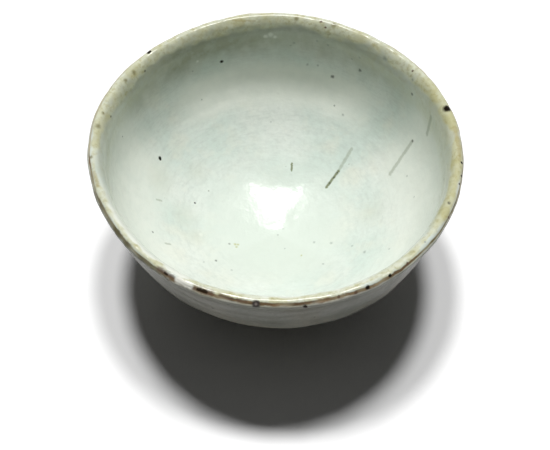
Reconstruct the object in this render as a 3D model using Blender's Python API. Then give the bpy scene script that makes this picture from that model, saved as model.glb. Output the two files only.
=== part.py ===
"""A wheel-thrown bowl: a clay body on a luted foot ring, and the coats of glaze that cover them.

Metres, +Z up. The origin is the centre of the plane that the foot stands on. Each outline is a
list of (radius, height) points, spun about the vertical axis.
"""

import math

import bmesh
import bpy

# The finished bowl, measured over its glaze
LIP_RADIUS = 0.0750
HEIGHT = 0.0750
WALL = 0.0036
FLOOR = 0.0055

# The lip: a slope on its inner side, a bare worn crest, a rounded roll on its outer side and,
# under the roll, a flare that runs down into the wall
LIP_SLOPE_WIDTH = 0.0042
LIP_SLOPE_DEPTH = 0.0090
LIP_ROLL = 0.0024
LIP_FLARE_DEPTH = 0.0120
BARE_LIP = 0.0016

# How far under the lip the outside is widest, which leaves the wall thicker lower down
BELLY_DEPTH = 0.0085

# The foot: a ring that lifts the floor's underside clear of the table
FOOT_RADIUS = 0.0290
FOOT_WALL = 0.0060
FOOT_RECESS = 0.0050
FOOT_CHAMFER = 0.0008
FOOT_FILLET = 0.0020
BARE_FOOT = 0.0020

# The coats of glaze, and the gap between pieces that touch
INSIDE_GLAZE = 0.0006
OUTSIDE_GLAZE = 0.0005
BOND_GAP = 0.0003

# How far the hand-thrown wall strays from a true circle, measured at the lip
OVAL = 0.0009
OVAL_DIRECTION = math.radians(147)
WAVE = 0.00026
WAVE_COUNT = 5
WAVE_DIRECTION = math.radians(20)

# How finely the outlines are divided
SEGMENTS = 60
WALL_STEPS = 9
SLOPE_STEPS = 5
ROLL_STEPS = 4
FLARE_STEPS = 3
FOOT_STEPS = 2
FILLET_STEPS = 3
ROLL_END = math.radians(-35)
SHARP_ANGLE = math.radians(40)

# Every layer of the wall is an oval about the height at which it is upright: inside, where the
# lip's slope ends, and outside, at the belly
UPRIGHT_HEIGHT = HEIGHT - LIP_SLOPE_DEPTH
BELLY_HEIGHT = HEIGHT - BELLY_DEPTH
CREST_RADIUS = LIP_RADIUS - LIP_ROLL
INSIDE_RADIUS = CREST_RADIUS - LIP_SLOPE_WIDTH
INSIDE_DROP = UPRIGHT_HEIGHT - FOOT_RECESS - FLOOR
OUTSIDE_RADIUS = INSIDE_RADIUS + WALL
OUTSIDE_DROP = BELLY_HEIGHT - FOOT_RECESS
CLAY_INSIDE = INSIDE_GLAZE + BOND_GAP
CLAY_OUTSIDE = OUTSIDE_GLAZE + BOND_GAP
GLAZED_FOOT_RADIUS = FOOT_RADIUS + BOND_GAP + OUTSIDE_GLAZE
FOOT_INNER_RADIUS = FOOT_RADIUS - FOOT_WALL


def spread(first, last, steps):
    """Evenly spaced values from first to last."""
    return [first + (last - first) * step / steps for step in range(steps + 1)]


def bend(start, corner, end, steps):
    """A smooth curve from start to end that leans towards the corner, without its first point."""
    points = []
    for share in spread(0, 1, steps)[1:]:
        weights = ((1 - share) ** 2, 2 * share * (1 - share), share**2)
        points.append(
            tuple(
                sum(weight * point[axis] for weight, point in zip(weights, (start, corner, end)))
                for axis in (0, 1)
            )
        )
    return points


def inside_arc(depth):
    """The inside of the wall, this deep under its surface, from the well's centre up."""
    return [
        (
            (INSIDE_RADIUS + depth) * math.sin(angle),
            UPRIGHT_HEIGHT - (INSIDE_DROP + depth) * math.cos(angle),
        )
        for angle in spread(0, math.pi / 2, WALL_STEPS)
    ]


def outside_angle(radius, depth):
    """Where a surface this deep under the outside has this radius."""
    return math.asin(radius / (OUTSIDE_RADIUS - depth))


def outside_arc(depth, first, last, steps=WALL_STEPS):
    """The outside of the wall, this deep under its surface, by angle from straight down."""
    return [
        (
            (OUTSIDE_RADIUS - depth) * math.sin(angle),
            BELLY_HEIGHT - (OUTSIDE_DROP - depth) * math.cos(angle),
        )
        for angle in spread(first, last, steps)
    ]


def outside_wall(depth, last):
    """The outside, this deep under its surface, from the foot of the lip's flare down."""
    below_belly = LIP_FLARE_DEPTH - BELLY_DEPTH
    first = math.acos(below_belly / (OUTSIDE_DROP - depth))
    return outside_arc(depth, first, last)


def slope_arc(depth, reach):
    """The lip's inner slope, from the upright wall to this far short of the crest."""
    width = LIP_SLOPE_WIDTH - depth
    rise = LIP_SLOPE_DEPTH - depth
    angles = spread(0, math.acos(reach / width), SLOPE_STEPS)
    return [
        (CREST_RADIUS - width * math.cos(angle), UPRIGHT_HEIGHT + rise * math.sin(angle))
        for angle in angles
    ]


def roll_arc(depth, reach):
    """The lip's outer roll, from this far past the crest down to where the flare starts."""
    radius = LIP_ROLL - depth
    angles = spread(math.acos(reach / radius), ROLL_END, ROLL_STEPS)
    return [
        (CREST_RADIUS + radius * math.cos(angle), HEIGHT - LIP_ROLL + radius * math.sin(angle))
        for angle in angles
    ]


def lip_and_wall(depth, reach, last):
    """The outside, this deep under its surface, from the crest over the roll and flare and down."""
    roll = roll_arc(depth, reach)
    wall = outside_wall(depth, last)
    corner = (wall[0][0], (roll[-1][1] + wall[0][1]) / 2)
    return roll + bend(roll[-1], corner, wall[0], FLARE_STEPS) + wall[1:]


def foot_fillet(start):
    """The glaze's curve from its last point on the wall into the foot's side."""
    corner = outside_arc(0, 0, outside_angle(GLAZED_FOOT_RADIUS, 0), 1)[-1]
    end = (GLAZED_FOOT_RADIUS, corner[1] - FOOT_FILLET)
    return bend(start, corner, end, FILLET_STEPS)


def clay_body_outline():
    """From the well's centre up the inside, over the bare crest, and down the outside to the centre."""
    half_bare = BARE_LIP / 2
    inside = inside_arc(CLAY_INSIDE) + slope_arc(CLAY_INSIDE, half_bare)[1:]
    crest = [
        slope_arc(0, half_bare)[-1],
        (CREST_RADIUS, HEIGHT),
        roll_arc(0, half_bare)[0],
    ]
    return inside + crest + lip_and_wall(CLAY_OUTSIDE, half_bare, 0)


def inside_glaze_outline():
    """A thin coat over the clay's inside, ending just short of the bare crest."""
    reach = BARE_LIP / 2 + BOND_GAP
    surface = inside_arc(0) + slope_arc(0, reach)[1:]
    underside = inside_arc(INSIDE_GLAZE) + slope_arc(INSIDE_GLAZE, reach)[1:]
    return surface + underside[::-1]


def outside_glaze_outline():
    """A thin coat from just past the bare crest, down the wall and over the foot's side."""
    reach = BARE_LIP / 2 + BOND_GAP
    foot_gap_radius = FOOT_RADIUS + BOND_GAP
    surface = lip_and_wall(0, reach, outside_angle(GLAZED_FOOT_RADIUS + FOOT_FILLET, 0))
    surface += foot_fillet(surface[-1]) + [(GLAZED_FOOT_RADIUS, BARE_FOOT)]
    underside = lip_and_wall(OUTSIDE_GLAZE, reach, outside_angle(foot_gap_radius, OUTSIDE_GLAZE))
    underside += [(foot_gap_radius, BARE_FOOT)]
    return surface + underside[::-1]


def foot_ring_outline():
    """A ring whose top follows the body's underside and whose bottom is flat, with chamfered edges."""
    top = outside_arc(
        OUTSIDE_GLAZE,
        outside_angle(FOOT_INNER_RADIUS, OUTSIDE_GLAZE),
        outside_angle(FOOT_RADIUS, OUTSIDE_GLAZE),
        FOOT_STEPS,
    )
    bottom = [
        (FOOT_RADIUS, FOOT_CHAMFER),
        (FOOT_RADIUS - FOOT_CHAMFER, 0),
        (FOOT_INNER_RADIUS + FOOT_CHAMFER, 0),
        (FOOT_INNER_RADIUS, FOOT_CHAMFER),
    ]
    return top + bottom


def foot_well_glaze_outline():
    """The coat over the body's underside, inside the foot ring."""
    edge = FOOT_INNER_RADIUS - BOND_GAP
    surface = outside_arc(0, 0, outside_angle(edge, 0), FOOT_STEPS)
    underside = outside_arc(OUTSIDE_GLAZE, 0, outside_angle(edge, OUTSIDE_GLAZE), FOOT_STEPS)
    return underside + surface[::-1]


def hand_thrown(point):
    """Shift a point outwards or inwards, as the wall strays from a true circle."""
    angle = math.atan2(point.y, point.x)
    oval = OVAL * math.cos(2 * (angle - OVAL_DIRECTION))
    wave = WAVE * math.cos(WAVE_COUNT * (angle - WAVE_DIRECTION))
    stretch = 1 + (oval + wave) / LIP_RADIUS
    return (point.x * stretch, point.y * stretch, point.z)


def spun_mesh(name, outline, closed_ring):
    """Spin an outline once round the vertical axis and give it the hand-thrown stray."""
    shape = bmesh.new()
    corners = [shape.verts.new((radius, 0, height)) for radius, height in outline]
    pairs = list(zip(corners, corners[1:]))
    if closed_ring:
        pairs.append((corners[-1], corners[0]))
    edges = [shape.edges.new(pair) for pair in pairs]
    bmesh.ops.spin(
        shape,
        geom=corners + edges,
        cent=(0, 0, 0),
        axis=(0, 0, 1),
        angle=2 * math.pi,
        steps=SEGMENTS,
        use_merge=True,
    )
    bmesh.ops.remove_doubles(shape, verts=shape.verts, dist=1e-6)
    for vertex in shape.verts:
        vertex.co = hand_thrown(vertex.co)
    bmesh.ops.recalc_face_normals(shape, faces=shape.faces)
    mesh = bpy.data.meshes.new(name)
    shape.to_mesh(mesh)
    shape.free()
    mesh.shade_smooth()
    mesh.set_sharp_from_angle(angle=SHARP_ANGLE)
    return mesh


def linear(level):
    """A screen colour level from 0 to 255 as linear light."""
    share = level / 255
    if share <= 0.04045:
        return share / 12.92
    return ((share + 0.055) / 1.055) ** 2.4


def ceramic_material(name, screen_color, roughness):
    material = bpy.data.materials.new(name)
    material.use_nodes = True
    shader = material.node_tree.nodes["Principled BSDF"]
    color = (*(linear(level) for level in screen_color), 1)
    shader.inputs["Base Color"].default_value = color
    shader.inputs["Roughness"].default_value = roughness
    shader.inputs["Metallic"].default_value = 0
    material.diffuse_color = color
    return material


def add_piece(name, outline, closed_ring, material, bowl):
    piece = bpy.data.objects.new(name, spun_mesh(name, outline, closed_ring))
    piece.data.materials.append(material)
    piece.parent = bowl
    bpy.context.scene.collection.objects.link(piece)
    return piece


def clear_scene():
    for item in list(bpy.data.objects):
        bpy.data.objects.remove(item, do_unlink=True)


def build_bowl():
    clear_scene()
    bowl = bpy.data.objects.new("bowl", None)
    bpy.context.scene.collection.objects.link(bowl)
    clay = ceramic_material("fired_clay", (150, 128, 104), 0.85)
    foot_clay = ceramic_material("foot_clay", (171, 149, 122), 0.9)
    inside = ceramic_material("pale_green_glaze", (213, 224, 211), 0.18)
    outside = ceramic_material("outside_green_glaze", (196, 205, 190), 0.2)
    well = ceramic_material("foot_well_glaze", (203, 211, 196), 0.25)
    add_piece("clay_body", clay_body_outline(), False, clay, bowl)
    add_piece("foot_ring", foot_ring_outline(), True, foot_clay, bowl)
    add_piece("inside_glaze", inside_glaze_outline(), False, inside, bowl)
    add_piece("outside_glaze", outside_glaze_outline(), True, outside, bowl)
    add_piece("foot_well_glaze", foot_well_glaze_outline(), False, well, bowl)


build_bowl()
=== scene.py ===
"""The looks of a thrown bowl with a pale green glaze, worn brown along its lip.

Every CAD node is replaced by a finely turned piece of the same form: the two coats of glaze, the
clay that shows between them at the lip, the foot ring and the glaze inside it. Metres, +Z up.
"""

import math

import bmesh
import bpy
import numpy as np
from mathutils import Euler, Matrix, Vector
from mathutils.bvhtree import BVHTree


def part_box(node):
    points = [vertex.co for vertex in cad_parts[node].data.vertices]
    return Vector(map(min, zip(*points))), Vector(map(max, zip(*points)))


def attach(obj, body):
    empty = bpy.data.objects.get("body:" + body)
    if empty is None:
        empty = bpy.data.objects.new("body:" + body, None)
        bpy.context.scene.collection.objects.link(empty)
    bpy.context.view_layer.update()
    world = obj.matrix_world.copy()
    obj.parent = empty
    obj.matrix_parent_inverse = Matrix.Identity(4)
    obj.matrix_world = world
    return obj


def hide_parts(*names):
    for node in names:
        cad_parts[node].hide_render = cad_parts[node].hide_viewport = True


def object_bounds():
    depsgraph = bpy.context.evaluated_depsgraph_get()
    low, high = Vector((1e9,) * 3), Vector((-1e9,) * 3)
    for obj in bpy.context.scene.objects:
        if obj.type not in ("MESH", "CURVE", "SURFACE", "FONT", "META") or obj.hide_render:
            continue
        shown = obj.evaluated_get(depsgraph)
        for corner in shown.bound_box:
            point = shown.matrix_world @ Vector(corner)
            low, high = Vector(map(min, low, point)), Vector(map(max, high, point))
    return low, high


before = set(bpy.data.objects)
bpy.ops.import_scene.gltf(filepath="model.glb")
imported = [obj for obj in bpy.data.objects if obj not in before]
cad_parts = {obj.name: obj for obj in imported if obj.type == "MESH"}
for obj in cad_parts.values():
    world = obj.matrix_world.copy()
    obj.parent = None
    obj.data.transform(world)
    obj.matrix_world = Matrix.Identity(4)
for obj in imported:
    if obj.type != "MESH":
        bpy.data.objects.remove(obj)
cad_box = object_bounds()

MM = 0.001


def mean_radius(node):
    """Half the mean width of a CAD node."""
    low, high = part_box(node)
    return (high.x - low.x + high.y - low.y) / 4


# The finished bowl over its glaze: its height, lip and foot come from the CAD
HEIGHT = cad_box[1].z
LIP_RADIUS = mean_radius("outside_glaze")
FOOT_RADIUS = mean_radius("foot_ring")
WALL = 3.6 * MM
FLOOR = 5.5 * MM
FOOT_WALL = 6.0 * MM
FOOT_RECESS = 5.0 * MM
FOOT_CHAMFER = 0.8 * MM
FOOT_FILLET = 2.0 * MM
BARE_FOOT = 2.0 * MM

# The lip: inner slope, crest, outer roll and flare
LIP_SLOPE_WIDTH = 4.2 * MM
LIP_SLOPE_DEPTH = 9.0 * MM
LIP_ROLL = 2.4 * MM
LIP_FLARE_DEPTH = 12 * MM
ROLL_END = math.radians(-35)

# How far under the lip the outside is widest
BELLY_DEPTH = 8.5 * MM

INSIDE_GLAZE = 0.6 * MM
OUTSIDE_GLAZE = 0.5 * MM
BOND_GAP = 0.3 * MM

UPRIGHT_HEIGHT = HEIGHT - LIP_SLOPE_DEPTH
BELLY_HEIGHT = HEIGHT - BELLY_DEPTH
CREST_RADIUS = LIP_RADIUS - LIP_ROLL
INSIDE_RADIUS = CREST_RADIUS - LIP_SLOPE_WIDTH
INSIDE_DROP = UPRIGHT_HEIGHT - FOOT_RECESS - FLOOR
OUTSIDE_RADIUS = INSIDE_RADIUS + WALL
OUTSIDE_DROP = BELLY_HEIGHT - FOOT_RECESS
GLAZED_FOOT_RADIUS = FOOT_RADIUS + BOND_GAP + OUTSIDE_GLAZE
FOOT_INNER_RADIUS = FOOT_RADIUS - FOOT_WALL

# How the hand-thrown wall strays from a true circle: waves round the lip, each with its height and
# the direction of its first peak
STRAYS = {
    2: (0.9 * MM, 147),
    3: (0.12 * MM, 45),
    4: (0.18 * MM, 88),
    5: (0.26 * MM, 20),
}

# Three shallow finger marks at the back of the well: where, how wide, how deep, and their turn
MARKS_MIDDLE = (0.5 * MM, 17.5 * MM)
MARKS_RADIUS = 14 * MM
MARKS_DEPTH = 0.42 * MM
MARKS_TURN = 25

# The worn line between the two coats of glaze, by distance past the crest down the outer side
BARE_MIDDLE = 1.85 * MM
BARE_RIGHT_SHIFT = 0.8 * MM
BARE_HALF = 0.32 * MM
BARE_LEAST_HALF = 0.08 * MM
BARE_DEPTH = 0.1 * MM
OLIVE_LINE_SHIFT = 0.35 * MM

# A coat's edge: how deep it sinks, how wide that is, and how far in the coat has its full
# thickness. The outside coat swells to a bead beside it.
GLAZE_EDGE_DEPTH = 0.16 * MM
GLAZE_EDGE_WIDTH = 0.9 * MM
GLAZE_FULL_WIDTH = 1.6 * MM
BEAD_HEIGHT = 0.16 * MM
BEAD_MIDDLE = 1.3 * MM
BEAD_WIDTH = 3.0 * MM

# Where past a coat's edge the clay starts to sink, and where it is under the coat
CLAY_SINKS = (0.1 * MM, 1.5 * MM)

# The foot's glaze: how much longer its curve is than its radius, and how its underside starts
FOOT_WELL_ARC = 1.012
FOOT_WELL_EDGE = (-0.4 * MM, 0.8 * MM)

# The thrower's rings inside, the trimming knife's bands outside, and the chips of the foot
RING_HEIGHT = 0.028 * MM
RING_SPACING = 5.4 * MM
TRIM_HEIGHT = 0.16 * MM
TRIM_SPACING = 9 * MM
FOOT_CHIP = 0.35 * MM

# Random waves in layers, each with its height, its size across and its seed
INSIDE_LUMPS = ((0.2 * MM, 52 * MM, 7), (0.06 * MM, 17 * MM, 11))
OUTSIDE_LUMPS = ((0.3 * MM, 46 * MM, 23), (0.1 * MM, 16 * MM, 25))
LIP_LUMPS = ((0.1 * MM, 15 * MM, 31), (0.05 * MM, 5 * MM, 33))
FOOT_LUMPS = ((0.1 * MM, 9 * MM, 61), (0.05 * MM, 3 * MM, 63))
BARE_WANDER = ((0.15 * MM, 22 * MM, 41), (0.06 * MM, 5 * MM, 43))
BARE_SWELL = ((0.14 * MM, 12 * MM, 45), (0.08 * MM, 3.5 * MM, 47))
TONE_WANDER = ((1.2 * MM, 20 * MM, 71), (0.5 * MM, 6 * MM, 73))

# How finely the pieces are divided. Rows come in stretches along the wall, each with its first and
# last share of the way and its number of rows.
COLUMNS = 600
FOOT_COLUMNS = 300
FOOT_WELL_COLUMNS = 180
INSIDE_ROWS = ((0, 0.9, 84), (0.9, 0.975, 26), (0.975, 0.995, 10), (0.995, 1, 8))
INSIDE_UNDER_ROWS = ((1, 0.985, 4), (0.985, 0.93, 3), (0.93, 0, 24))
OUTSIDE_ROWS = ((0, 0.008, 6), (0.008, 0.06, 14), (0.06, 0.16, 18), (0.16, 0.86, 60), (0.86, 1, 20))
OUTSIDE_UNDER_ROWS = ((1, 0.86, 6), (0.86, 0.16, 22), (0.16, 0.02, 5), (0.02, 0, 3))
FOOT_WELL_ROWS = ((0, 0.9, 18), (0.9, 1, 4))

# Stretches round the bowl: first and last direction and the fade outside them, in degrees. 0 is
# right in the photograph, 90 far, 180 left and 270 near.
STRETCHES = {
    "line_low": (330, 375, 14),
    "line_thin_left": (170, 184, 10),
    "line_thin_right": (318, 376, 14),
    "line_olive": (198, 232, 12),
    "line_gold": (322, 372, 14),
    "stain_near": (206, 334, 12),
    "stain_right": (334, 366, 10),
    "stain_left": (188, 206, 10),
    # Painted shade in the olive tone: the far wall, the near wall inside and the outside's two ends
    "shade_far": (60, 150, 30),
    "shade_far_left": (104, 126, 16),
    "shade_near": (225, 312, 20),
    "shade_outside_left": (222, 228, 30),
    "shade_outside_right": (318, 334, 44),
    # Where the cream is thin, wide, faint or worn
    "thin_right": (-60, 12, 20),
    "thin_left": (190, 230, 16),
    "thin_near_left": (190, 236, 14),
    "wide_near_right": (298, 342, 14),
    "faint_far": (70, 125, 20),
    "worn_right": (-25, 18, 14),
    # Painted light, as a paler tone inside
    "lit_near": (210, 312, 22),
    "lit_left": (165, 212, 18),
    "lit_right": (-42, 20, 18),
    "lit_far": (60, 120, 24),
}

# Where a relief or a tone of the glaze starts and where it is full, by distance from the crest
REACHES = {
    "inside_relief": (2 * MM, 12 * MM),
    "outside_relief": (3 * MM, 12 * MM),
    "lip_relief": (12 * MM, 4 * MM),
    # Painted shade in the olive tone
    "shade_inside": (27 * MM, 12 * MM),
    "shade_near": (20 * MM, 45 * MM),
    "shade_outside": (3 * MM, 7 * MM),
    "cream_under_lip": (20 * MM, 11 * MM),
    # Painted light, as a paler tone inside
    "lit_near": (10 * MM, 6 * MM),
    "lit_sides_start": (4 * MM, 9 * MM),
    "lit_sides_end": (66 * MM, 40 * MM),
    "lit_far_start": (22 * MM, 30 * MM),
    "lit_far_end": (50 * MM, 41 * MM),
}

# The photograph's frame, and the camera found from the lip's outline in it
PHOTO_WIDTH = 550
PHOTO_HEIGHT = 450
SENSOR_WIDTH = 36
LENS = 67.0
CAMERA_PLACE = Vector((-0.0003, -0.257, 0.3973))
CAMERA_PITCH = 34.0
CAMERA_ROLL = -0.13
CAMERA_NEAR = 0.01


def smooth_step(values, low, high):
    """A smooth rise from 0 at low to 1 at high, which may be the smaller of the two."""
    share = np.clip((values - low) / (high - low), 0, 1)
    return share * share * (3 - 2 * share)


def waves(places, wavelength, seed, count=16):
    """Smooth random heights over 3-D places, mostly from -1 to 1."""
    draw = np.random.default_rng(seed)
    total = np.zeros(places.shape[:-1])
    for _ in range(count):
        direction = draw.normal(size=3)
        direction /= np.linalg.norm(direction)
        pitch = wavelength * draw.uniform(0.7, 1.5)
        phase = draw.uniform(0, 2 * math.pi)
        total += np.cos(places @ direction * (2 * math.pi / pitch) + phase)
    return total / math.sqrt(count)


def lumps(places, layers):
    """The heights of several layers of random waves, together."""
    return sum(height * waves(places, across, seed) for height, across, seed in layers)


# Outlines


def arc(centre, width, rise, first, last, count=160):
    """Points (radius, height) on an oval, by angle in radians from the horizontal."""
    angles = np.linspace(first, last, count)
    return np.stack([centre[0] + width * np.cos(angles), centre[1] + rise * np.sin(angles)], 1)


def bend(start, corner, end, count=80):
    """A smooth curve from start to end that leans towards the corner."""
    share = np.linspace(0, 1, count)[:, None]
    start, corner, end = map(np.array, (start, corner, end))
    return start * (1 - share) ** 2 + corner * 2 * share * (1 - share) + end * share**2


def joined(*stretches):
    """One line through all the stretches, without the points that repeat."""
    points = np.concatenate(stretches)
    steps = np.hypot(*np.diff(points, axis=0).T)
    return points[np.concatenate([[True], steps > 1e-7])]


class Line:
    """An outline, measured along from its crest: less than 0 inside the bowl and more outside."""

    def __init__(self, points):
        steps = np.hypot(*np.diff(points, axis=0).T)
        along = np.concatenate([[0], np.cumsum(steps)])
        nearest = np.argmin(np.hypot(*(points - CREST).T))
        self.along = along - along[nearest]
        self.points = points
        tangent = np.gradient(points, self.along, axis=0)
        tangent /= np.linalg.norm(tangent, axis=1)[:, None]
        self.normal = np.stack([-tangent[:, 1], tangent[:, 0]], 1)

    def at(self, along, raised):
        """Radius and height at these distances, raised off the line towards its free side."""
        found = []
        for axis in (0, 1):
            base = np.interp(along, self.along, self.points[:, axis])
            slant = np.interp(along, self.along, self.normal[:, axis])
            found.append(base + slant * raised)
        return found


CREST = np.array([CREST_RADIUS, HEIGHT])
INSIDE_WALL = joined(
    arc((0, UPRIGHT_HEIGHT), INSIDE_RADIUS, INSIDE_DROP, -math.pi / 2, 0, 900),
    arc((CREST_RADIUS, UPRIGHT_HEIGHT), LIP_SLOPE_WIDTH, LIP_SLOPE_DEPTH, math.pi, math.pi / 2),
)
ROLL = arc((CREST_RADIUS, HEIGHT - LIP_ROLL), LIP_ROLL, LIP_ROLL, math.pi / 2, ROLL_END)
FLARE_FOOT_ANGLE = -math.asin((LIP_FLARE_DEPTH - BELLY_DEPTH) / OUTSIDE_DROP)


def outside_wall(first, last, count=700):
    return arc((0, BELLY_HEIGHT), OUTSIDE_RADIUS, OUTSIDE_DROP, first, last, count)


def lip_flare():
    foot = outside_wall(FLARE_FOOT_ANGLE, FLARE_FOOT_ANGLE, 1)[0]
    return bend(ROLL[-1], (foot[0], (ROLL[-1][1] + foot[1]) / 2), foot)


def body_line():
    """From the well's centre, over the lip and down to the underside's centre."""
    wall = outside_wall(FLARE_FOOT_ANGLE, -math.pi / 2)
    return Line(joined(INSIDE_WALL, ROLL, lip_flare(), wall))


def coat_line():
    """The outside coat: as the body's line, but over the foot's side instead of under the foot."""
    last = -math.acos((GLAZED_FOOT_RADIUS + FOOT_FILLET) / OUTSIDE_RADIUS)
    wall = outside_wall(FLARE_FOOT_ANGLE, last)
    corner_angle = -math.acos(GLAZED_FOOT_RADIUS / OUTSIDE_RADIUS)
    corner = outside_wall(corner_angle, corner_angle, 1)[0]
    side_top = (GLAZED_FOOT_RADIUS, corner[1] - FOOT_FILLET)
    fillet = bend(wall[-1], corner, side_top)
    side = bend(side_top, side_top, (GLAZED_FOOT_RADIUS, BARE_FOOT), 12)
    return Line(joined(INSIDE_WALL[-40:], ROLL, lip_flare(), wall, fillet, side))


BODY = body_line()
COAT = coat_line()
WELL = -BODY.along[0]


# Turned pieces


def stray(around):
    """How much wider or narrower than a true circle the bowl is in these directions."""
    total = sum(
        height * np.cos(count * (around - math.radians(peak)))
        for count, (height, peak) in STRAYS.items()
    )
    return 1 + total / LIP_RADIUS


def turned(line, along, raised, around):
    """Places of a grid whose rows lie along a line and whose columns go round the bowl."""
    radius, height = line.at(along, raised)
    radius = radius * stray(around)
    return np.stack([radius * np.cos(around), radius * np.sin(around), height], -1)


def grid_faces(rows, columns, ring):
    """Quads between neighbouring rows, and between the last row and the first on a ring."""
    first = np.arange(rows if ring else rows - 1)[:, None]
    second = (first + 1) % rows
    left = np.arange(columns)[None, :]
    right = (left + 1) % columns
    corners = (first * columns + left, first * columns + right)
    corners += (second * columns + right, second * columns + left)
    return np.stack(np.broadcast_arrays(*corners), -1).reshape(-1, 4)


def turned_mesh(name, grid, ring, marks):
    """A closed mesh. Where it isn't a ring, its first and last rows are each a single point."""
    rows, columns = grid.shape[:2]
    order = np.arange(rows * columns).reshape(rows, columns)
    if ring:
        kept = order.reshape(-1)
        faces = grid_faces(rows, columns, True).tolist()
    else:
        kept = np.concatenate([order[1:-1].reshape(-1), order[0, :1], order[-1, :1]])
        faces = grid_faces(rows - 2, columns, False).tolist()
        top = len(kept) - 2
        last = top - columns
        for left in range(columns):
            right = (left + 1) % columns
            faces.append([top, right, left])
            faces.append([top + 1, last + left, last + right])
    mesh = bpy.data.meshes.new(name)
    mesh.from_pydata(grid.reshape(-1, 3)[kept].tolist(), [], faces)
    for key, value in marks.items():
        layer = mesh.attributes.new(key, "FLOAT", "POINT")
        layer.data.foreach_set("value", value.reshape(-1)[kept].astype(np.float32))
    mesh.update()
    shape = bmesh.new()
    shape.from_mesh(mesh)
    if shape.calc_volume(signed=True) < 0:
        mesh.flip_normals()
    shape.free()
    mesh.shade_smooth()
    return mesh


def placed(name, data):
    """A new object in the scene."""
    item = bpy.data.objects.new(name, data)
    bpy.context.scene.collection.objects.link(item)
    return item


def add_piece(name, node, grid, ring=False, marks=()):
    """A turned piece that stands for a CAD node."""
    piece = placed(name, turned_mesh(node, grid, ring, dict(marks)))
    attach(piece, "root")
    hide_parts(node)
    return piece


def columns_of(count):
    return np.linspace(0, 2 * math.pi, count, endpoint=False)[None, :]


def rows_of(*stretches):
    """Row positions from stretches of (first, last, rows), each without its last row."""
    parts = [np.linspace(first, last, count, endpoint=False) for first, last, count in stretches]
    return np.concatenate(parts + [[stretches[-1][1]]])[:, None]


def lip_places(around):
    """Places on a level circle as wide as the lip."""
    return LIP_RADIUS * np.stack([np.cos(around), np.sin(around), 0 * around], -1)


# Relief


def finger_marks(places):
    """Three shallow marks at the back of the well, which pull its highlight into a wedge."""
    right = (places[..., 0] - MARKS_MIDDLE[0]) / MARKS_RADIUS
    back = (places[..., 1] - MARKS_MIDDLE[1]) / MARKS_RADIUS
    reach = np.hypot(right, back)
    lobes = np.cos(3 * (np.arctan2(back, right) - math.radians(MARKS_TURN)))
    return -MARKS_DEPTH * reach**3 * np.exp(0.9 * (1 - reach**2)) * lobes


def reached(way, reach):
    """How full a relief or a tone is at this distance from the crest, from 0 to 1."""
    return smooth_step(way, *REACHES[reach])


def inside_relief(along, around, places):
    """The spiral of the thrower's fingers as the wheel turned, and the wall's lumps."""
    drift = 1.6 * waves(places, 70 * MM, 3)
    rings = np.sin(2 * math.pi * along / RING_SPACING + around + drift)
    rings = rings * (0.5 + 0.5 * waves(places, 40 * MM, 5))
    raised = RING_HEIGHT * rings + lumps(places, INSIDE_LUMPS) + finger_marks(places)
    return raised * reached(-along, "inside_relief")


def outside_relief(along, around, places):
    """Bands left by a trimming knife, and the wall's lumps."""
    band = along / TRIM_SPACING + around / (2 * math.pi) + 0.25 * waves(places, 60 * MM, 21)
    trim = smooth_step(np.abs((band % 1) - 0.5) * 2, 0.0, 0.55)
    raised = TRIM_HEIGHT * (trim - 1) + lumps(places, OUTSIDE_LUMPS)
    return raised * reached(along, "outside_relief")


def window(around, *stretches):
    """1 along the named stretches round the bowl, falling to 0 over the fade outside them."""
    share = 0
    for first, last, fade in map(STRETCHES.get, stretches):
        off = np.abs((np.degrees(around) - (first + last) / 2 + 180) % 360 - 180)
        half = (last - first) / 2
        share = np.maximum(share, 1 - smooth_step(off, half, half + fade))
    return share


def bare_middle(around):
    """How far past the crest the worn line runs in these directions."""
    wander = lumps(lip_places(around), BARE_WANDER)
    return BARE_MIDDLE + wander + BARE_RIGHT_SHIFT * window(around, "line_low")


def bare_edges(around):
    """Where the coats of glaze end on the lip, on its inner and outer side."""
    middle = bare_middle(around)
    half = np.maximum(BARE_HALF + lumps(lip_places(around), BARE_SWELL), BARE_LEAST_HALF)
    return middle - half, middle + half


def stain_share(around):
    """How brown the worn line is in these directions."""
    stain = np.maximum(window(around, "stain_near"), 0.6 * window(around, "stain_right"))
    stain = np.maximum(stain, np.maximum(0.8 * window(around, "stain_left"), 0.12))
    patchy = 0.85 + 0.35 * waves(lip_places(around), 9 * MM, 51)
    return np.clip(stain * patchy, 0, 1)


def olive_painted_shade_share(along, around, from_crest, away):
    """Grey-olive glaze darkened as painted shade: under the far lip, on the near wall, and at the
    outside's two ends.
    """
    shaded = 0.33 * away + 0.35 * window(around, "shade_far")
    shaded = shaded + 0.32 * window(around, "shade_far_left")
    olive = shaded * reached(from_crest, "shade_inside") * (along < 0)
    ends = window(around, "shade_outside_left", "shade_outside_right")
    olive = np.maximum(olive, 0.9 * ends * reached(along, "shade_outside"))
    near_wall = window(around, "shade_near") * reached(-along, "shade_near")
    return np.maximum(olive, 0.06 * near_wall)


def cream_share(along, around, from_crest, away):
    """Where the glaze thins to cream: along the crest, and faintly on the slope under it."""
    inside = along < 0
    narrow = 2.6 * away * window(around, "thin_right")
    narrow = narrow + 1.2 * away * window(around, "thin_left")
    narrow = narrow + 1.1 * window(around, "thin_near_left")
    narrow = narrow - 1.5 * window(around, "wide_near_right")
    reach = np.where(inside, MM * (1.2 + 4.0 * away - narrow), MM * (1.4 + 1.4 * away))
    full = np.maximum(reach - 1.0 * MM, 0.4 * MM)
    cream = smooth_step(from_crest, reach + 1.6 * MM, full)
    under_lip = (0.1 + 0.2 * away) * inside * reached(from_crest, "cream_under_lip")
    under_lip = under_lip * (1 - 0.8 * window(around, "faint_far"))
    return np.maximum(cream, under_lip)


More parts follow.
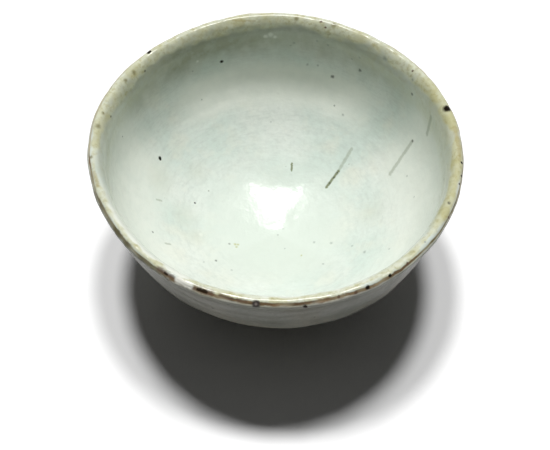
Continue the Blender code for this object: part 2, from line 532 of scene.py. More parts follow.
def painted_light_share(along, around, from_crest):
    """Painted light: where the inside is painted paler, on the near lip's slope and in bands down
    the sides and far wall.
    """
    near_slope = reached(from_crest, "lit_near") * window(around, "lit_near")
    sides = window(around, "lit_left", "lit_right")
    side_band = reached(-along, "lit_sides_start") * reached(-along, "lit_sides_end")
    far_band = reached(-along, "lit_far_start") * reached(-along, "lit_far_end")
    band = np.maximum(0.9 * sides * side_band, far_band * window(around, "lit_far"))
    return np.maximum(near_slope, band) * (along < 0)


def worn_share(around, places):
    """How worn and yellowed the cream is."""
    worn = 0.6 * window(around, "worn_right")
    worn = worn + 0.5 * np.clip(waves(places, 10 * MM, 75), 0, 1)
    return worn + 0.3 * np.clip(waves(places, 3.5 * MM, 77), 0, 1)


def tone_shares(line, along, around):
    """What the finishes read: the way past the crest and the worn line, and each tone's share."""
    places = turned(line, along, 0 * along, around)
    from_crest = np.abs(along) + lumps(places, TONE_WANDER)
    # 0 on the near side, and 1 from the left and right on
    away = smooth_step(np.sin(around), -0.75, 0.15)
    thin_line = window(around, "line_thin_left", "line_thin_right")
    olive_line = window(around, "line_olive")
    past_line = along - bare_middle(around) - OLIVE_LINE_SHIFT * olive_line
    return {
        "lip": along,
        "olive": olive_painted_shade_share(along, around, from_crest, away),
        "cream": cream_share(along, around, from_crest, away),
        "pale": painted_light_share(along, around, from_crest),
        "worn": worn_share(around, places),
        "stain": stain_share(around) + 0 * along,
        "line": past_line * (1 + 0.7 * thin_line - 0.25 * olive_line),
        "gold": window(around, "line_gold") + 0 * along,
        "moss": olive_line + 0 * along,
    }


def finished(line, along, around, depth):
    """Places of a glazed surface, this deep under it, with its relief."""
    smooth = turned(line, along, 0 * along, around)
    raised = lumps(smooth, LIP_LUMPS) * reached(np.abs(along), "lip_relief")
    inner = inside_relief(along, around, smooth)
    outer = outside_relief(along, around, smooth)
    raised = raised + np.where(along < 0, inner, outer)
    return turned(line, along, raised - depth, around)


def edge_depth(reach):
    """How far a coat's surface sinks towards its edge, by distance from it."""
    share = 1 - np.clip(reach / GLAZE_EDGE_WIDTH, 0, 1)
    return GLAZE_EDGE_DEPTH * (1 - np.sqrt(np.clip(1 - share**2, 0, 1)))


def bead(reach):
    """How far the outside coat swells where it has rolled back from its edge."""
    share = smooth_step(reach, 0, BEAD_MIDDLE) * (1 - smooth_step(reach, BEAD_MIDDLE, BEAD_WIDTH))
    return BEAD_HEIGHT * share


def under_depth(reach, thickness):
    """How deep a coat's underside lies, by distance from its edge."""
    share = smooth_step(reach, 0, GLAZE_FULL_WIDTH)
    return GLAZE_EDGE_DEPTH + (thickness - GLAZE_EDGE_DEPTH) * share


def wall_piece(name, node, line, along, around, depth, ring=False):
    """A piece of the wall along a line, this deep under its surface, with what its finish reads."""
    grid = finished(line, along, around + 0 * along, depth)
    return add_piece(name, node, grid, ring, tone_shares(line, along, around))


def make_inside_glaze():
    """The inside coat, whose surface and underside share their row at the lip."""
    around = columns_of(COLUMNS)
    edge, _ = bare_edges(around)
    surface = -WELL + rows_of(*INSIDE_ROWS) * (edge + WELL)
    underside = -WELL + rows_of(*INSIDE_UNDER_ROWS)[1:] * (edge + WELL)
    along = np.concatenate([surface, underside])
    under = under_depth(edge - underside, INSIDE_GLAZE)
    depth = np.concatenate([edge_depth(edge - surface), under])
    return wall_piece("inside_glaze_coat", "inside_glaze", BODY, along, around, depth)


def make_outside_glaze():
    """The outside coat, a ring of rows that closes at the lip."""
    around = columns_of(COLUMNS)
    _, edge = bare_edges(around)
    end = COAT.along[-1]
    surface = edge + rows_of(*OUTSIDE_ROWS) * (end - edge)
    underside = edge + rows_of(*OUTSIDE_UNDER_ROWS)[:-1] * (end - edge)
    along = np.concatenate([surface, underside])
    foot_edge = 0.5 * edge_depth(end - surface)
    over = edge_depth(surface - edge) + foot_edge - bead(surface - edge)
    depth = np.concatenate([over, under_depth(underside - edge, OUTSIDE_GLAZE)])
    return wall_piece("outside_glaze_coat", "outside_glaze", COAT, along, around, depth, True)


def make_clay_body():
    """The clay, just under the surface in the bare line and under the coats beside it."""
    around = columns_of(COLUMNS)
    inner_edge, outer_edge = bare_edges(around)
    shoulder = 0.5 * MM
    beside = 3 * MM
    end = BODY.along[-1]
    inside = -WELL + rows_of((0, 0.97, 28)) * (inner_edge - beside + WELL)
    bare = inner_edge - shoulder + rows_of((0, 1, 10)) * (outer_edge - inner_edge + 2 * shoulder)
    outside = outer_edge + beside + rows_of((0, 1, 28)) * (end - outer_edge - beside)
    along = np.concatenate([inside, bare, outside])
    deep_inside = INSIDE_GLAZE + BOND_GAP - BARE_DEPTH
    deep_outside = OUTSIDE_GLAZE + BOND_GAP - BARE_DEPTH
    depth = BARE_DEPTH + deep_inside * smooth_step(inner_edge - along, *CLAY_SINKS)
    depth = depth + deep_outside * smooth_step(along - outer_edge, *CLAY_SINKS)
    return wall_piece("clay_wall", "clay_body", BODY, along, around, depth)


def foot_ring_rows():
    """The ring's outline, from its inner top edge over the top and down its outer side."""
    radius = OUTSIDE_RADIUS - OUTSIDE_GLAZE
    inner = -math.acos(FOOT_INNER_RADIUS / radius)
    outer = -math.acos(FOOT_RADIUS / radius)
    top = arc((0, BELLY_HEIGHT), radius, OUTSIDE_DROP - OUTSIDE_GLAZE, inner, outer, 5)
    low_outer = (FOOT_RADIUS, FOOT_CHAMFER)
    flat_outer = (FOOT_RADIUS - FOOT_CHAMFER, 0)
    flat_inner = (FOOT_INNER_RADIUS + FOOT_CHAMFER, 0)
    low_inner = (FOOT_INNER_RADIUS, FOOT_CHAMFER)
    return joined(
        top,
        np.linspace(top[-1], low_outer, 8),
        bend(low_outer, (FOOT_RADIUS, 0), flat_outer, 5),
        np.linspace(flat_outer, flat_inner, 8),
        bend(flat_inner, (FOOT_INNER_RADIUS, 0), low_inner, 5),
        np.linspace(low_inner, top[0], 7)[:-1],
    )


def make_foot_ring():
    around = columns_of(FOOT_COLUMNS)
    outline = foot_ring_rows()
    radius = outline[:, :1] * stray(around)
    height = outline[:, 1:] + 0 * around
    grid = np.stack([radius * np.cos(around), radius * np.sin(around), height], -1)
    rough = lumps(grid, FOOT_LUMPS)
    low = 1 - smooth_step(height, 0.4 * MM, 2.5 * MM)
    grid[..., 0] += rough * np.cos(around) * (1 - 0.5 * low)
    grid[..., 1] += rough * np.sin(around) * (1 - 0.5 * low)
    chips = FOOT_CHIP * np.clip(waves(grid, 7 * MM, 65) - 0.9, 0, 1)
    grid[..., 2] += chips * low
    return add_piece("foot_ring_bare", "foot_ring", grid, True)


def make_foot_well():
    """The glaze inside the foot ring, from the underside's centre out and back over it."""
    around = columns_of(FOOT_WELL_COLUMNS)
    end = BODY.along[-1]
    start = end - (FOOT_INNER_RADIUS - BOND_GAP) * FOOT_WELL_ARC
    surface = end - rows_of(*FOOT_WELL_ROWS) * (end - start)
    underside = start + rows_of((0, 1, 6)) * (end - start)
    along = np.concatenate([surface, underside]) + 0 * around
    under = OUTSIDE_GLAZE * smooth_step(underside - start, *FOOT_WELL_EDGE)
    depth = np.concatenate([edge_depth(surface - start), under]) + 0 * around
    grid = finished(BODY, along, around + 0 * along, depth)
    return add_piece("foot_well_coat", "foot_well_glaze", grid)


# Materials


def tone(red, green, blue):
    """A screen colour as linear light, with full alpha."""
    levels = np.array([red, green, blue]) / 255
    linear = np.where(levels <= 0.04045, levels / 12.92, ((levels + 0.055) / 1.055) ** 2.4)
    return (*linear.tolist(), 1.0)


INSIDE_TONES = {
    "base": tone(231, 237, 229),
    "cool": tone(216, 229, 220),
    "warm": tone(234, 235, 221),
    "pooled": tone(217, 226, 216),
    "grain": tone(190, 198, 190),
    # Olive: a grey-olive tone, laid on as painted shade
    "olive": tone(150, 155, 134),
    # Pale: the tone of painted light
    "pale": tone(247, 251, 241),
    "cream": tone(219, 222, 195),
    "worn": tone(198, 196, 150),
    "crumbs": tone(176, 170, 116),
}
OUTSIDE_TONES = {
    "base": tone(219, 217, 202),
    "cool": tone(198, 201, 189),
    "warm": tone(205, 201, 180),
    "pooled": tone(203, 203, 188),
    "grain": tone(150, 150, 134),
    # Olive: painted shade at the outside's two ends
    "olive": tone(126, 126, 109),
    # Pale: the tone of painted light
    "pale": tone(203, 203, 188),
    "cream": tone(214, 215, 190),
    "worn": tone(172, 166, 128),
    "crumbs": tone(160, 152, 104),
}
# How far inwards from the crest the glaze starts to pool, and where it is all pooled
WELL_FADE = (60 * MM, 95 * MM)

# How uneven each tone is, in the order they lie: olive painted shade, painted light, thin cream
MOTTLES = {"olive": (0.8, 1.1), "pale": (0.8, 1.0), "cream": (0.55, 1.15)}

# How rough each coat is, how that varies, and how the brushed grain is stretched
INSIDE_ROUGHNESS = 0.23
OUTSIDE_ROUGHNESS = 0.34
ROUGHNESS_SPREAD = 0.04
BRUSH_STRETCH = (0.4, 0.4, 2.4)

# How far the edges of marks wander, how many radii off the nearest mark is at most, and the size
# of the cells that hold a tiny speck each
MARK_WARP = 0.9 * MM
FAR_OFF = 9.0
SPECK_CELL = 3.2 * MM


class Nodes:
    """A tree of nodes, with short calls that add to it."""

    def __init__(self, tree):
        self.tree = tree

    def feed(self, socket, value):
        if isinstance(value, bpy.types.NodeSocket):
            self.tree.links.new(value, socket)
        else:
            socket.default_value = value

    def node(self, kind, inputs=(), **settings):
        made = self.tree.nodes.new("ShaderNode" + kind)
        for key, value in settings.items():
            setattr(made, key, value)
        for key, value in dict(inputs).items():
            self.feed(made.inputs[key], value)
        return made

    def math(self, operation, *values):
        return self.node("Math", enumerate(values), operation=operation).outputs[0]

    def times(self, first, second):
        return self.math("MULTIPLY", first, second)


class Look(Nodes):
    """One material's look."""

    def __init__(self, name):
        self.material = bpy.data.materials.new(name)
        self.material.use_nodes = True
        super().__init__(self.material.node_tree)
        self.shader = self.tree.nodes["Principled BSDF"]
        self.place = self.node("TexCoord").outputs["Object"]

    def vector(self, operation, *values):
        made = self.node("VectorMath", enumerate(values), operation=operation)
        plain = operation in ("DISTANCE", "DOT_PRODUCT")
        return made.outputs["Value" if plain else "Vector"]

    def noise(self, size, detail=2.0, roughness=0.5, shift=0.0, place=None, output="Fac"):
        """Noise whose features are about this size."""
        where = self.vector("ADD", place or self.place, (shift, 0.31 * shift, 0.73 * shift))
        inputs = {"Vector": where, "Scale": 1 / size, "Detail": detail, "Roughness": roughness}
        return self.node("TexNoise", inputs).outputs[output]

    def step(self, value, low, high, first=0.0, last=1.0):
        """A smooth step from first to last as the value goes from low to high."""
        inputs = {0: value, 1: low, 2: high, 3: first, 4: last}
        made = self.node("MapRange", inputs, interpolation_type="SMOOTHSTEP")
        return made.outputs[0]

    def mix(self, share, first, second):
        inputs = {0: share, 6: first, 7: second}
        return self.node("Mix", inputs, data_type="RGBA").outputs[2]

    def attribute(self, name):
        return self.node("Attribute", attribute_name=name).outputs["Fac"]

    def bump(self, height, distance, normal=None):
        inputs = {"Height": height, "Distance": distance, "Strength": 1.0}
        if normal is not None:
            inputs["Normal"] = normal
        return self.node("Bump", inputs).outputs[0]

    def done(self, color, roughness, normal, **values):
        """The material, with plain values such as its IOR set on the shader's own sockets."""
        self.feed(self.shader.inputs["Base Color"], color)
        self.feed(self.shader.inputs["Roughness"], roughness)
        self.feed(self.shader.inputs["Normal"], normal)
        for key, value in values.items():
            self.shader.inputs[key].default_value = value
        return self.material


def nearest_spot(look, places, warped):
    """Distance to the nearest spot, as a share of its radius. Places are (centre, radius)."""
    nearest = FAR_OFF
    for centre, radius in places:
        share = look.math("DIVIDE", look.vector("DISTANCE", warped, centre), radius)
        nearest = look.math("MINIMUM", share, nearest)
    return nearest


def nearest_streak(look, places, warped):
    """Distance to the nearest streak, as a share of its half width."""
    nearest = FAR_OFF
    for start, end, half_width in places:
        span = end - start
        offset = look.vector("SUBTRACT", warped, start)
        way = look.vector("DOT_PRODUCT", offset, span)
        share = look.math("DIVIDE", way, span.length_squared)
        share = look.math("MINIMUM", look.math("MAXIMUM", share, 0.0), 1.0)
        scaled = look.node("VectorMath", {0: span, "Scale": share}, operation="SCALE")
        gap = look.vector("DISTANCE", offset, scaled.outputs[0])
        nearest = look.math("MINIMUM", look.math("DIVIDE", gap, half_width), nearest)
    return nearest


def worn_line(look, color):
    """The brown line round the lip, over this color, as strong as the stain."""
    wobble = look.noise(3 * MM, shift=14.0)
    wobble = look.math("MULTIPLY_ADD", wobble, 1.2 * MM, -0.6 * MM)
    off = look.math("ADD", look.attribute("line"), wobble)
    near = look.step(look.math("ABSOLUTE", off), 1.0 * MM, 0.35 * MM)
    broken = look.step(look.noise(4 * MM, 2.0, 0.6, 15.0), 0.28, 0.46, 0.45, 1.0)
    strength = look.times(look.attribute("stain"), broken)
    strength = look.times(strength, near)
    hue = look.step(look.noise(8 * MM, shift=16.0), 0.35, 0.65)
    brown = look.mix(hue, tone(118, 86, 48), tone(106, 90, 54))
    brown = look.mix(look.attribute("gold"), brown, tone(134, 124, 80))
    brown = look.mix(look.attribute("moss"), brown, tone(98, 94, 62))
    burnt = look.step(look.noise(3.5 * MM, 2.0, 0.6, 18.0), 0.52, 0.66, 0, 0.7)
    brown = look.mix(burnt, brown, tone(62, 50, 36))
    return look.mix(strength, color, brown)


def thick_glaze(look, tones, brushed):
    """Glaze where it is thick: clouds of tone, grain and faint stains, and the pool in the well."""
    clouds = look.noise(30 * MM, 3.0, 0.55, 1.0)
    color = look.mix(look.step(clouds, 0.35, 0.68), tones["base"], tones["cool"])
    patches = look.noise(18 * MM, shift=5.0)
    color = look.mix(look.step(patches, 0.5, 0.72, 0, 0.6), color, tones["warm"])
    fine = look.noise(2.0 * MM, 3.0, 0.6, 9.0)
    color = look.mix(look.step(fine, 0.35, 0.8, 0, 0.3), color, tones["grain"])
    color = look.mix(look.step(brushed, 0.45, 0.75, 0, 0.28), color, tones["grain"])
    stained = look.noise(8 * MM, 3.0, 0.6, 35.0)
    color = look.mix(look.step(stained, 0.52, 0.7, 0, 0.26), color, tones["warm"])
    inwards = look.step(look.times(look.attribute("lip"), -1.0), *WELL_FADE)
    return look.mix(inwards, color, tones["pooled"])


def thin_glaze(look, color, tones):
    """Mottled olive painted shade, painted light and thin cream over this color, and the cream's
    wear.
    """
    mottled = look.noise(5 * MM, 3.0, 0.6, 12.0)
    for kind, (least, most) in MOTTLES.items():
        mottle = look.step(mottled, 0.3, 0.7, least, most)
        share = look.times(look.attribute(kind), mottle)
        color = look.mix(look.math("MINIMUM", share, 1.0), color, tones[kind])
    cream = look.attribute("cream")
    worn = look.times(look.attribute("worn"), cream)
    color = look.mix(worn, color, tones["worn"])
    # The crumbs are as uneven as the cream, whose mottle came last
    crumbs = look.step(look.noise(1.8 * MM, 3.0, 0.6, 37.0), 0.44, 0.7, 0, 0.6)
    crumbs = look.times(crumbs, cream)
    return look.mix(look.times(crumbs, mottle), color, tones["crumbs"])


def glaze_finish(name, tones, marks, black, roughness):
    """Pale glaze: clouds of tone, olive painted shade, painted light, and cream where it thins at
    the lip.
    """
    look = Look(name)
    stretched = look.vector("MULTIPLY", look.place, BRUSH_STRETCH)
    brushed = look.noise(2.2 * MM, 3.0, 0.6, 27.0, stretched)
    color = thick_glaze(look, tones, brushed)
    color = thin_glaze(look, color, tones)
    color = worn_line(look, color)

    warp = look.noise(1.1 * MM, shift=17.0, output="Color")
    warp = look.vector("MULTIPLY_ADD", warp, (MARK_WARP,) * 3, (-MARK_WARP / 2,) * 3)
    warped = look.vector("ADD", look.place, warp)
    for mark in marks:
        color = mark(look, color, warped)
    look.feed(look.shader.inputs["Metallic"], black(look, warped))

    normal = look.bump(look.noise(4.5 * MM, shift=29.0), 0.2 * MM)
    normal = look.bump(brushed, 0.05 * MM, normal)
    normal = look.bump(look.noise(0.9 * MM, shift=23.0), 0.022 * MM, normal)
    gloss = look.noise(9 * MM, shift=31.0)
    low, high = roughness - ROUGHNESS_SPREAD, roughness + ROUGHNESS_SPREAD
    rough = look.step(gloss, 0.3, 0.7, low, high)
    return look.done(color, rough, normal, IOR=1.42)


def micro_specks(density, color, seed, largest=0.22, soft=0.03):
    """Tiny random specks, in this share of the cells and at most this share of a cell large."""

    def paint(look, under, warped):
        place = look.vector("ADD", look.place, (seed, seed, 0))
        cells = look.node("TexVoronoi", {"Vector": place, "Scale": 1 / SPECK_CELL})
        chance = look.node("SeparateColor", {0: cells.outputs["Color"]})
        wanted = look.step(chance.outputs[0], density, density * 0.8)
        inner = look.times(chance.outputs[1], largest)
        near = look.math("SUBTRACT", inner, cells.outputs["Distance"])
        share = look.times(look.step(near, -soft, soft), wanted)
        return look.mix(share, under, color)

    return paint


def painted(nearest, places, color, strength, outer, inner):
    """Marks at chosen places that fade in from the outer to the inner share of their size."""

    def paint(look, under, warped):
        near = nearest(look, places, warped)
        return look.mix(look.step(near, outer, inner, 0, strength), under, color)

    return paint


def spots(places, color, strength, soft=0.5):
    """Round marks with an edge this soft."""
    return painted(nearest_spot, places, color, strength, 1 + soft, 1 - soft)


def streaks(places, color, strength, outer=1.4, inner=0.4):
    """Long marks, faint at the outer share of their half width and full at the inner."""
    return painted(nearest_streak, places, color, strength, outer, inner)


def black_iron(places, strokes):
    """Where the iron has burnt black and mirrors less than the glaze, from 0 to 1."""

    def share(look, warped):
        near = nearest_spot(look, places, warped)
        near = look.math("MINIMUM", near, nearest_streak(look, strokes, warped))
        return look.step(near, 1.2, 0.7)

    return share


def clay_finish(marks, black):
    """Clay under worn glaze: pale, and brown where it is stained."""
    look = Look("worn_clay")
    grain = look.noise(0.8 * MM, 3.0, 0.6, 2.0)
    tint = look.noise(7 * MM, 3.0, 0.6, 4.0)
    brown = look.mix(look.step(tint, 0.35, 0.65), tone(102, 80, 50), tone(136, 110, 70))
    brown = look.mix(look.attribute("gold"), brown, tone(124, 116, 74))
    brown = look.mix(look.attribute("moss"), brown, tone(92, 88, 58))
    brown = look.mix(look.step(grain, 0.35, 0.8, 0, 0.5), brown, tone(72, 56, 42))
    color = look.mix(look.attribute("stain"), tone(196, 190, 158), brown)
    for mark in marks:
        color = mark(look, color, look.place)
    look.feed(look.shader.inputs["Metallic"], black(look, look.place))
    normal = look.bump(grain, 0.05 * MM)
    return look.done(color, 0.7, normal)


def foot_well_finish():
    """Thin glaze inside the foot ring."""
    look = Look("pale_glaze_foot_well")
    clouds = look.noise(14 * MM, 3.0, 0.55, 1.0)
    color = look.mix(look.step(clouds, 0.35, 0.68), tone(203, 211, 196), tone(190, 199, 186))
    fine = look.noise(2.0 * MM, 3.0, 0.6, 9.0)
    color = look.mix(look.step(fine, 0.35, 0.8, 0, 0.25), color, tone(160, 162, 142))
    normal = look.bump(look.noise(4.5 * MM, shift=29.0), 0.1 * MM)
    return look.done(color, 0.35, normal, IOR=1.5)


def foot_finish():
    look = Look("bare_foot_clay")
    grain = look.noise(0.6 * MM, 3.0, 0.6, 6.0)
    tint = look.noise(12 * MM, 3.0, 0.6, 8.0)
    color = look.mix(look.step(tint, 0.3, 0.7), tone(171, 149, 122), tone(150, 120, 92))
    color = look.mix(look.step(grain, 0.5, 0.8, 0, 0.5), color, tone(110, 88, 68))
    normal = look.bump(grain, 0.12 * MM)
    return look.done(color, 0.85, normal)


# Marks: the column and row where the photograph shows each, and its radius in millimetres

BLACK_SPECKS = {
    "left_wall": (160, 158.3, 0.82),
    "far_wall_left": (221.6, 61.6, 0.85),
    "well_left": (195, 203, 0.46),
}
DARK_SPECKS = {
    "far_wall_right": (332.5, 76.6, 0.75),
    "far_wall_right_high": (360, 70.5, 0.75),
    "right_wall_high": (412, 94, 0.65),
    "left_wall_high": (145, 71, 0.45),
    "left_edge_high": (111, 116.5, 0.5),
    "streak_head": (412.3, 141, 0.5),
    "streak_dot_first": (337.3, 172.6, 0.42),
    "streak_dot_second": (333.8, 177.6, 0.48),
    "streak_dot_third": (329.8, 183.2, 0.42),
    "near_wall_left": (152.8, 232, 0.45),
    "near_wall_middle": (216, 260.6, 0.5),
    "right_edge": (444, 179, 0.55),
    "right_edge_low": (449, 203, 0.6),
}
GREY_SPECKS = {
    "well_high": (271, 122, 0.3),
    "near_dash": (231.7, 270, 0.45),
    "near_left": (204, 262, 0.35),
    "well_low": (277.7, 235, 0.35),
    "under_highlight": (283, 229, 0.35),
    "well_lowest": (284.7, 248.5, 0.35),
    "near_right": (314, 242.4, 0.5),
    "near_right_large": (331.3, 243, 0.6),
    "near_right_third": (352, 246, 0.45),
    "near_right_blotch": (364.4, 252, 0.6),
    "near_right_low": (323, 264, 0.45),
    "near_right_far": (389, 249, 0.4),
    "right_wall": (407, 176, 0.4),
    "right_wall_low": (414, 197, 0.38),
    "right_of_well": (343, 115, 0.5),
    "far_first": (307.5, 64.4, 0.55),
    "far_second": (318, 65.4, 0.45),
    "far_third": (294, 43, 0.5),
    "far_fourth": (290.6, 45.6, 0.4),
    "far_fifth": (317, 41, 0.55),
    "far_sixth": (352, 59, 0.45),
    "far_seventh": (359.4, 57.5, 0.45),
    "far_eighth": (328, 45, 0.45),
    "far_right": (385, 58.7, 0.9),
    "right_wall_highest": (412.5, 80, 0.55),
}
OLIVE_SPECKS = {
    "v_mark_left": (235.2, 244.4, 0.55),
    "v_mark_right": (237.9, 244.6, 0.52),
    "v_mark_foot": (236.5, 246.9, 0.48),
    "near_faint": (301, 255.5, 0.4),
}
# Pale specks and glints: painted highlights on pinholes and on the far wall
PALE_SPECKS_AND_GLINTS = {
    "far_left": (197.5, 61.5, 0.6),
    "far_middle": (278, 93.5, 0.5),
    "near_left": (201, 234.5, 0.8),
    "glint_left": (265.5, 36.5, 0.9),
    "glint_middle": (270.5, 34.5, 1.1),
    "glint_right": (275, 37, 0.8),
}
CLOUDS = {
    "left": (160, 178, 6.0),
    "right": (371, 213, 5.5),
    "left_low": (186, 216, 5.0),
    "left_lower": (195, 236, 4.0),
    "left_inner": (197, 171, 4.5),
}

# Streaks: where each starts and ends in the photograph, and its half width in millimetres
STREAK_STEPS = 4
OLIVE_STREAKS = {
    "long_dark": (338.5, 171, 326.5, 187, 0.72),
    "short_upright": (291.8, 163.5, 291.8, 170.5, 0.45),
}
FAINT_STREAKS = {
    "long_pale": (351.5, 149, 338.5, 171, 0.8),
    "right": (412.3, 141, 390, 174, 0.85),
    "right_high": (431, 117, 427, 134, 1.0),
    "near_left_dash": (165.3, 243.4, 170.3, 244.2, 0.5),
    "left_dash": (156.5, 199.3, 161.5, 200.8, 0.5),
}

# Spots and strokes on the lip, as the marks above
BLACK_LIP_SPOTS = {
    "right": (447, 108.4, 1.75),
    "far_left": (149, 52, 1.1),
    "near_right": (367.5, 287.5, 0.9),
    "near_right_second": (390, 275.6, 0.68),
    "outer_side": (305.3, 306.9, 0.9),
    "right_edge_first": (462, 163, 0.6),
    "right_edge_second": (461.5, 176, 0.6),
    "right_edge_third": (459.5, 184, 0.5),
}
RING_SPOTS = {"near_middle": (256, 304, 1.5)}
RING_CENTRES = {"near_middle": (256, 304, 0.5)}
BROWN_LIP_SPOTS = {
    "far": (321, 21.5, 0.6),
    "right_high": (412.5, 71, 0.5),
    "far_low": (325.6, 27.5, 0.45),
    "near_right_first": (338.8, 296.9, 0.6),
    "near_right_red": (356, 292.5, 0.65),
    "right_end": (407.5, 263.8, 0.65),
    "right_low": (448.7, 217.5, 0.55),
}
OLIVE_LIP_SPOTS = {
    "far_tail": (296.5, 18.8, 0.9),
    "far_patch": (334, 25, 1.1),
    "left": (98, 126, 1.1),
    "left_low": (91, 157, 0.7),
    "left_third": (103, 113, 0.6),
    "left_shoulder": (133.7, 72.5, 0.85),
    "left_shoulder_low": (125.7, 80.5, 0.8),
}
BLACK_LIP_STROKES = {
    "near_left_patch": (198, 289.3, 206, 291.8, 0.8),
    "near_left_red": (164.5, 272.8, 167.0, 274.5, 0.45),
}
BROWN_LIP_STROKES = {
    "near_left_patch": (194, 287.8, 211, 293.2, 1.0),
    "near_left_red": (158.5, 268.8, 172.5, 277.3, 0.85),
    "near_streak": (220, 295.2, 231, 298.4, 0.6),
    "near_streak_second": (238, 300.0, 246, 301.6, 0.6),
}
# A white stroke across the worn line: white glaze, painted brighter as a highlight
WHITE_LIP_STROKES_AND_HIGHLIGHT = {
    "gap": (177.5, 280.0, 190.0, 286.2, 1.25),
}
GOLD_LIP_STROKES = {
    "far_arc": (233, 20, 245, 20.8, 0.6),
    "far_arc_end": (245, 20.8, 255, 20.8, 0.45),
    "right_upper": (455, 128, 459, 146, 1.1),
    "right_middle": (459, 146, 460, 160, 0.9),
    "left": (94, 172, 98, 186, 0.8),
}


def camera_turn():
    """The camera's turn: a roll about its own axis, and then the pitch."""
    roll = Euler((0, 0, math.radians(CAMERA_ROLL))).to_matrix()
    return Euler((math.radians(CAMERA_PITCH), 0, 0)).to_matrix() @ roll


def pixel_ray(column, row):
    """The way that the photograph's camera looks through one of its pixels."""
    reach = LENS / SENSOR_WIDTH * PHOTO_WIDTH
    ray = Vector((column - PHOTO_WIDTH / 2, PHOTO_HEIGHT / 2 - row, -reach))
    ray.rotate(camera_turn())
    return ray.normalized()


class Surface:
    """The bowl's finished surface, on which marks are placed by what the photograph shows."""

    def __init__(self, pieces):
        places, faces = [], []
        for piece in pieces:
            base = len(places)
            places += [vertex.co for vertex in piece.data.vertices]
            faces += [[base + i for i in face.vertices] for face in piece.data.polygons]
        self.tree = BVHTree.FromPolygons(places, faces)

    def at(self, column, row):
        """The place that the camera sees at this pixel, or the nearest to its ray at the lip."""
        ray = pixel_ray(column, row)
        place, _, _, _ = self.tree.ray_cast(CAMERA_PLACE, ray)
        if place is None:
            level = (HEIGHT - LIP_ROLL - CAMERA_PLACE.z) / ray.z
            place, _, _, _ = self.tree.find_nearest(CAMERA_PLACE + level * ray)
        return place

    def spots(self, marks):
        return [(self.at(column, row), radius * MM) for column, row, radius in marks.values()]

    def streaks(self, marks):
        """Each streak as short pieces that follow the curved wall."""
        pieces = []
        for x0, y0, x1, y1, half_width in marks.values():
            shares = [step / STREAK_STEPS for step in range(STREAK_STEPS + 1)]
            places = [self.at(x0 + (x1 - x0) * share, y0 + (y1 - y0) * share) for share in shares]
            pieces += [(start, end, half_width * MM) for start, end in zip(places, places[1:])]
        return pieces


def lip_paint(surface):
    """The marks along the lip, which run over both coats of glaze and the clay between them."""
    gold, brown, black = tone(158, 142, 84), tone(88, 62, 42), tone(24, 18, 12)
    white_and_highlight, olive = tone(248, 248, 236), tone(120, 114, 64)
    ring, ring_centre = tone(34, 24, 22), tone(150, 140, 132)
    return [
        streaks(surface.streaks(GOLD_LIP_STROKES), gold, 0.42),
        spots(surface.spots(OLIVE_LIP_SPOTS), olive, 0.75, soft=0.8),
        streaks(surface.streaks(BROWN_LIP_STROKES), brown, 0.8, outer=1.9, inner=0.2),
        # White glaze across the worn line, painted brighter as a highlight
        streaks(surface.streaks(WHITE_LIP_STROKES_AND_HIGHLIGHT), white_and_highlight, 0.95),
        spots(surface.spots(BROWN_LIP_SPOTS), brown, 0.9),
        streaks(surface.streaks(BLACK_LIP_STROKES), black, 0.9),
        spots(surface.spots(BLACK_LIP_SPOTS), black, 1.0, soft=0.4),
        spots(surface.spots(RING_SPOTS), ring, 0.97, soft=0.35),
        spots(surface.spots(RING_CENTRES), ring_centre, 0.7, soft=0.6),
    ]


def wall_paint(surface):
    """The clouds, specks and streaks inside the bowl, and painted glint highlights."""
    cloud, pale, grey = tone(203, 204, 184), tone(236, 240, 230), tone(120, 132, 124)
    faint, olive_streak, olive = tone(140, 148, 122), tone(104, 112, 64), tone(176, 178, 108)
    dark, black = tone(52, 56, 48), tone(20, 20, 16)
    return [
        spots(surface.spots(CLOUDS), cloud, 0.24, soft=0.95),
        # Pale specks and painted glint highlights
        spots(surface.spots(PALE_SPECKS_AND_GLINTS), pale, 0.6, soft=0.8),
        streaks(surface.streaks(FAINT_STREAKS), faint, 0.42),
        streaks(surface.streaks(OLIVE_STREAKS), olive_streak, 0.85),
        spots(surface.spots(OLIVE_SPECKS), olive, 0.7, soft=0.8),
        spots(surface.spots(GREY_SPECKS), grey, 0.48, soft=0.9),
        spots(surface.spots(DARK_SPECKS), dark, 0.75, soft=0.7),
        spots(surface.spots(BLACK_SPECKS), black, 1.0, soft=0.4),
    ]


# Stage: the floor's half width, and how bright the floor and the world are to the bowl and where
# they are seen or reflected

FLOOR_HALF = 3.0
FLOOR_BOUNCE = 0.25
FLOOR_SHOWN = 1.17
WORLD_LIGHT = 0.006
WORLD_SHOWN = 1.0

LAMP_REACH = 0.8

# How far each lamp leans to the right and to the back in degrees, the share of full light that it
# gives, and how wide it is in degrees
LAMPS = {
    "lamp_left": (-5.8, 15.5, 0.51, 8),
    "lamp_right": (5.8, 14.5, 0.45, 8),
    "lamp_soft": (0.0, 20.0, 0.05, 100),
}


def shown_share(nodes):
    """1 for what the camera sees, straight or reflected, and 0 for the light that things cast."""
    path = nodes.node("LightPath").outputs
    seen = nodes.math("MAXIMUM", path["Is Camera Ray"], path["Is Glossy Ray"])
    seen = nodes.math("MAXIMUM", seen, path["Is Transmission Ray"])
    return nodes.times(seen, nodes.math("LESS_THAN", path["Diffuse Depth"], 0.5))


def make_stage():
    mesh = bpy.data.meshes.new("floor")
    half = FLOOR_HALF
    corners = [(-half, -half, 0), (half, -half, 0), (half, half, 0), (-half, half, 0)]
    mesh.from_pydata(corners, [], [(0, 1, 2, 3)])
    floor = placed("floor", mesh)
    look = Look("white_paper")
    color = look.mix(shown_share(look), (*[FLOOR_BOUNCE] * 3, 1), (*[FLOOR_SHOWN] * 3, 1))
    paper = look.node("BsdfDiffuse", {"Color": color})
    look.feed(look.tree.nodes["Material Output"].inputs["Surface"], paper.outputs[0])
    floor.data.materials.append(look.material)


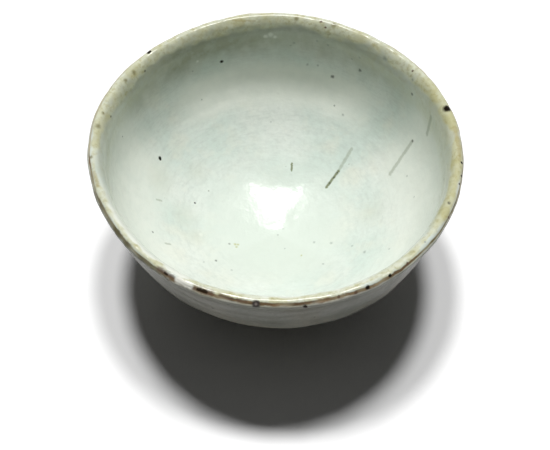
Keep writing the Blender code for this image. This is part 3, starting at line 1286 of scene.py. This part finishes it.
def make_world():
    world = bpy.data.worlds.new("studio")
    bpy.context.scene.world = world
    world.use_nodes = True
    nodes = Nodes(world.node_tree)
    inputs = {0: shown_share(nodes), 3: WORLD_LIGHT, 4: WORLD_SHOWN}
    level = nodes.node("MapRange", inputs)
    background = nodes.tree.nodes["Background"].inputs
    background["Color"].default_value = (1, 1, 1, 1)
    nodes.feed(background["Strength"], level.outputs[0])


def make_lamps():
    for name, (right, back, light, width) in LAMPS.items():
        lamp = bpy.data.lights.new(name, "SUN")
        lamp.energy = light * math.pi
        lamp.angle = math.radians(width)
        item = placed(name, lamp)
        towards = Vector((math.tan(math.radians(right)), math.tan(math.radians(back)), 1))
        towards.normalize()
        item.rotation_mode = "QUATERNION"
        item.rotation_quaternion = towards.to_track_quat("Z", "Y")
        item.location = towards * LAMP_REACH


def make_camera():
    lens = bpy.data.cameras.new("photo_camera")
    lens.sensor_width = SENSOR_WIDTH
    lens.lens = LENS
    lens.clip_start = CAMERA_NEAR
    camera = placed("photo_camera", lens)
    camera.location = CAMERA_PLACE
    camera.rotation_euler = camera_turn().to_euler()
    bpy.context.scene.camera = camera


def main():
    make_camera()
    make_lamps()
    make_world()
    make_stage()
    inside = make_inside_glaze()
    outside = make_outside_glaze()
    clay = make_clay_body()
    foot = make_foot_ring()
    well = make_foot_well()
    surface = Surface([inside, outside, clay])
    on_lip = lip_paint(surface)
    inside_marks = [micro_specks(0.03, tone(176, 182, 172), 3.0)]
    inside_marks += wall_paint(surface) + on_lip
    outside_marks = [micro_specks(0.05, tone(150, 148, 134), 7.0)] + on_lip
    black_spots = surface.spots(BLACK_SPECKS) + surface.spots(BLACK_LIP_SPOTS)
    black = black_iron(black_spots, surface.streaks(BLACK_LIP_STROKES))
    inside.data.materials.append(
        glaze_finish("pale_glaze_inside", INSIDE_TONES, inside_marks, black, INSIDE_ROUGHNESS)
    )
    outside.data.materials.append(
        glaze_finish("pale_glaze_outside", OUTSIDE_TONES, outside_marks, black, OUTSIDE_ROUGHNESS)
    )
    well.data.materials.append(foot_well_finish())
    clay.data.materials.append(clay_finish(on_lip, black))
    foot.data.materials.append(foot_finish())


main()
bpy.context.scene.view_settings.view_transform = "Standard"
